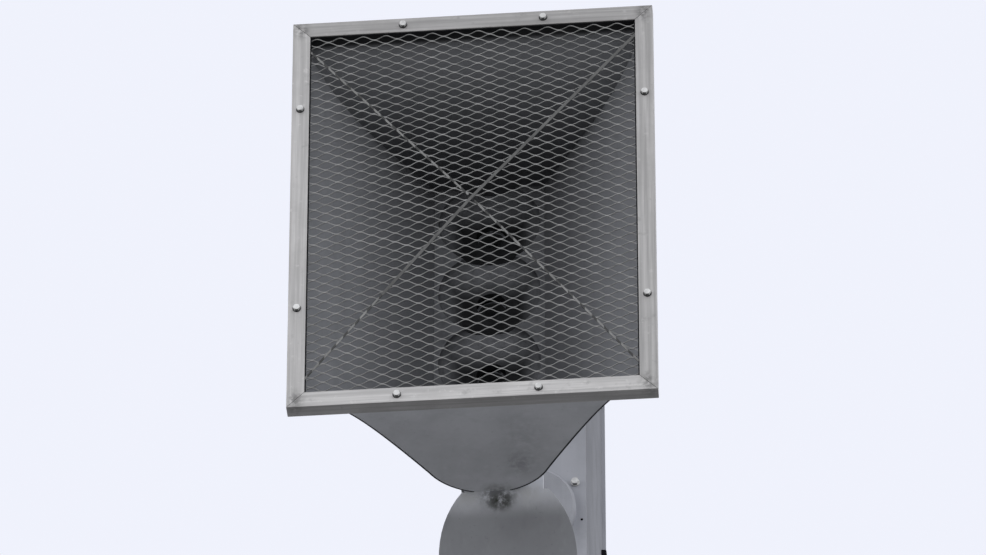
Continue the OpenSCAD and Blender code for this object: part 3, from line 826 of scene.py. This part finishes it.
plug = turned([(0, 0), (2.2, 0), (2.2, 0.4), (0, 0.4)], 24)
plug = turned_to(plug, (mast_x + 0.094, front_y, MOUTH[2] - 0.03), FRONT)
clip_points, clip_faces = box_solid((-2, -28, -60), (9, 4, 0), 3)
clip_points = clip_points * MM + (MAST_HIGH[0], MAST_HIGH[1] - 0.004, MOUTH[2] + 0.166)
outward(piece("mast_clip", joined([plug, (clip_points, clip_faces)]), black_rubber_and_shade))

FLANGE_INSET = 0.022
flange_bolts = []
for name in ("lower_arm_flange", "upper_arm_flange"):
    low, high = (np.array(v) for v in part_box(name))
    for x in (low[0] + FLANGE_INSET, high[0] - FLANGE_INSET):
        for z in (low[2] + FLANGE_INSET, high[2] - FLANGE_INSET):
            flange_bolts += hex_bolt((x, low[1], z), FRONT, 18)
outward(piece("flange_bolts", joined(flange_bolts), dull_steel))


def weld(start, stop, radius):
    """A straight weld bead: a circle carried between two points, its radius rippled along the way."""
    start, stop = np.asarray(start, float), np.asarray(stop, float)
    n = max(int(np.linalg.norm(stop - start) / 0.004), 8)
    path = start + (stop - start) * np.linspace(0, 1, n)[:, None]
    along = (stop - start) / np.linalg.norm(stop - start)
    up = np.array(DOWN) if abs(along[2]) < 0.9 else np.array(RIGHT)
    side = np.cross(along, up)
    side /= np.linalg.norm(side)
    over = np.cross(side, along)
    swell = radius * (1 + 0.12 * np.sin(np.arange(n) * 2.1))[:, None, None]
    ring = circle(1.0, 8)
    rows = path[:, None] + swell * (side * ring[:, :1] + over * ring[:, 1:])
    return tube(rows)


def weld_square(low, high, y, radius):
    """Four beads round a rectangle in x and z at a depth."""
    c = [(low[0], y, low[2]), (high[0], y, low[2]), (high[0], y, high[2]), (low[0], y, high[2])]
    return [weld(c[i], c[(i + 1) % 4], radius) for i in range(4)]


ARM_BEAD, FOOT_BEAD, GUSSET_BEAD = 0.0035, 0.006, 0.004
welds = []
for arm, flange in (("lower_arm", "lower_arm_flange"), ("upper_arm", "upper_arm_flange")):
    low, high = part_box(arm)
    welds += weld_square(low, high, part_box(flange)[0][1], ARM_BEAD)
outward(piece("arm_welds", joined(welds), mast_paint))

base_low, base_high = (np.array(v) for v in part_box("base_plate"))
(x0, y0, _), (x1, y1, _) = MAST_LOW, MAST_HIGH
foot = [(x, y, base_high[2]) for x, y in ((x0, y0), (x1, y0), (x1, y1), (x0, y1))]
foot_welds = [weld(foot[i], foot[(i + 1) % 4], FOOT_BEAD) for i in range(4)]
for name in ("gusset_front", "gusset_back", "gusset_left", "gusset_right"):
    low, high = (np.array(v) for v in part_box(name))
    if "front" in name or "back" in name:
        near = high[1] if "front" in name else low[1]
        for x in (low[0], high[0]):
            foot_welds.append(weld((x, low[1], low[2]), (x, high[1], low[2]), GUSSET_BEAD))
            foot_welds.append(weld((x, near, low[2]), (x, near, high[2]), GUSSET_BEAD))
    else:
        near = high[0] if "left" in name else low[0]
        for y in (low[1], high[1]):
            foot_welds.append(weld((low[0], y, low[2]), (high[0], y, low[2]), GUSSET_BEAD))
            foot_welds.append(weld((near, y, low[2]), (near, y, high[2]), GUSSET_BEAD))
outward(piece("foot_welds", joined(foot_welds), zinc_coat))

ANCHOR_INSET = 0.05
anchor_parts = [
    turned([(0, 0), (28, 0), (28, 4), (0, 4)], 40), hexagon(46, 24, 4), hexagon(46, 14, 29),
    turned([(0, -29), (15, -29), (15, 62), (13, 66), (0, 66)], 32),
]
anchors = []
for x in (base_low[0] + ANCHOR_INSET, base_high[0] - ANCHOR_INSET):
    for y in (base_low[1] + ANCHOR_INSET, base_high[1] - ANCHOR_INSET):
        anchors += [turned_to(part, (x, y, base_high[2]), UP) for part in anchor_parts]
outward(piece("anchor_nuts", joined(anchors), zinc_coat))

cover_low, cover_high = (np.array(v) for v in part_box("rear_cable_cover"))
SCREW_ROWS, SCREW_END, SCREW_EDGE = 18, 0.06, 0.016
cover_screws = []
for z in np.linspace(cover_low[2] + SCREW_END, cover_high[2] - SCREW_END, SCREW_ROWS):
    for x in (cover_low[0] + SCREW_EDGE, cover_high[0] - SCREW_EDGE):
        cover_screws += hex_bolt((x, cover_high[1], z), BACK, 10)
outward(piece("cover_screws", joined(cover_screws), dull_steel))

NUT_CIRCLE, FLANGE_BACK, POST_X = 0.039, 0.012, 0.008
driver_nuts = []
for i in range(DRIVER_COUNT):
    low, high = (np.array(v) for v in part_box("driver_%d" % (i + 1)))
    axis_x, axis_z = (low[0] + high[0]) / 2, (low[2] + high[2]) / 2
    nut_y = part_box("collar_%d" % (i + 1))[0][1] + FLANGE_BACK
    for a in np.arange(6) * np.pi / 3 + np.pi / 6:
        place = (axis_x + NUT_CIRCLE * np.cos(a), nut_y, axis_z + NUT_CIRCLE * np.sin(a))
        driver_nuts.append(turned_to(hexagon(8, 5), place, BACK))
    for x in (axis_x - POST_X, axis_x + POST_X):
        driver_nuts.append(turned_to(hexagon(13, 9), (x, high[1], axis_z), BACK))
outward(piece("driver_nuts", joined(driver_nuts), dull_steel))


# Light, floor and camera

world = bpy.data.worlds.new("studio")
bpy.context.scene.world = world
world.use_nodes = True
tree = world.node_tree
tree.nodes.clear()
out = tree.nodes.new("ShaderNodeOutputWorld")
sky = tree.nodes.new("ShaderNodeBackground")
plain = tree.nodes.new("ShaderNodeBackground")
choose = tree.nodes.new("ShaderNodeMixShader")
rays = tree.nodes.new("ShaderNodeLightPath")
coords = tree.nodes.new("ShaderNodeTexCoord")
axes = tree.nodes.new("ShaderNodeSeparateXYZ")
level = tree.nodes.new("ShaderNodeValToRGB")
lift = tree.nodes.new("ShaderNodeMapRange")
tree.links.new(coords.outputs["Generated"], axes.inputs[0])
tree.links.new(axes.outputs["Z"], lift.inputs["Value"])
lift.inputs["From Min"].default_value = -1.0
lift.inputs["From Max"].default_value = 1.0
tree.links.new(lift.outputs["Result"], level.inputs[0])
ramp = level.color_ramp
ramp.elements[0].position, ramp.elements[0].color = 0.0, (0.10, 0.10, 0.10, 1)
ramp.elements[1].position, ramp.elements[1].color = 1.0, (0.32, 0.325, 0.34, 1)
for position, color in (
    (0.40, (0.12, 0.12, 0.12, 1)), (0.52, (0.96, 0.97, 0.99, 1)), (0.72, (0.93, 0.94, 0.97, 1)),
):
    stop = ramp.elements.new(position)
    stop.color = color
tree.links.new(level.outputs["Color"], sky.inputs["Color"])
sky.inputs["Strength"].default_value = 1.72
plain.inputs["Color"].default_value = (0.868, 0.888, 0.976, 1)
plain.inputs["Strength"].default_value = 1.0
shown = rays.outputs["Is Camera Ray"]
for kind in ("Is Glossy Ray", "Is Transmission Ray"):
    either = tree.nodes.new("ShaderNodeMath")
    either.operation = "MAXIMUM"
    tree.links.new(shown, either.inputs[0])
    tree.links.new(rays.outputs[kind], either.inputs[1])
    shown = either.outputs[0]
tree.links.new(shown, choose.inputs[0])
tree.links.new(sky.outputs[0], choose.inputs[1])
tree.links.new(plain.outputs[0], choose.inputs[2])
tree.links.new(choose.outputs[0], out.inputs[0])

floor_points, floor_faces = turned([(0, -0.02), (5.0, -0.02), (5.0, -0.001), (0, -0.001)], 96)
floor_mesh = bpy.data.meshes.new("floor")
floor_mesh.from_pydata(floor_points.tolist(), [], face_list(floor_faces))
floor_finish = Finish("floor").set(rough=0.8)
floor_finish.set(color=floor_finish.mix(
    floor_finish.range(floor_finish.noise(1.2, 5), 0.3, 0.7), (0.70, 0.70, 0.70), (0.74, 0.74, 0.74)
))
floor_mesh.materials.append(floor_finish.mat)
floor = bpy.data.objects.new("floor", floor_mesh)
bpy.context.scene.collection.objects.link(floor)

# The camera fitted to the frame's corners: angles from the mouth's axis, distance in metres, and the
# picture's width, focal length and shift in pixels
azimuth, below, distance = math.radians(5.04), math.radians(38.38), 13.86
PICTURE_W, FOCAL, SHIFT_X, SHIFT_Y = 986.0, 8469.0, 21.1, 74.6
away = Vector((
    math.sin(azimuth) * math.cos(below), -math.cos(azimuth) * math.cos(below), -math.sin(below)
))
forward = -away
right = forward.cross(Vector(UP)).normalized()
up = right.cross(forward)
look = (forward + right * (SHIFT_X / FOCAL) - up * (SHIFT_Y / FOCAL)).normalized()
camera_data = bpy.data.cameras.new("camera")
camera_data.sensor_width = 36.0
camera_data.lens = camera_data.sensor_width * FOCAL / PICTURE_W
camera_data.clip_end = 1000.0
camera = bpy.data.objects.new("camera", camera_data)
bpy.context.scene.collection.objects.link(camera)
camera.location = Vector(MOUTH) + away * distance
camera.rotation_mode = "QUATERNION"
camera.rotation_quaternion = look.to_track_quat("-Z", "Y")
bpy.context.scene.camera = camera
bpy.context.scene.view_settings.view_transform = "Standard"
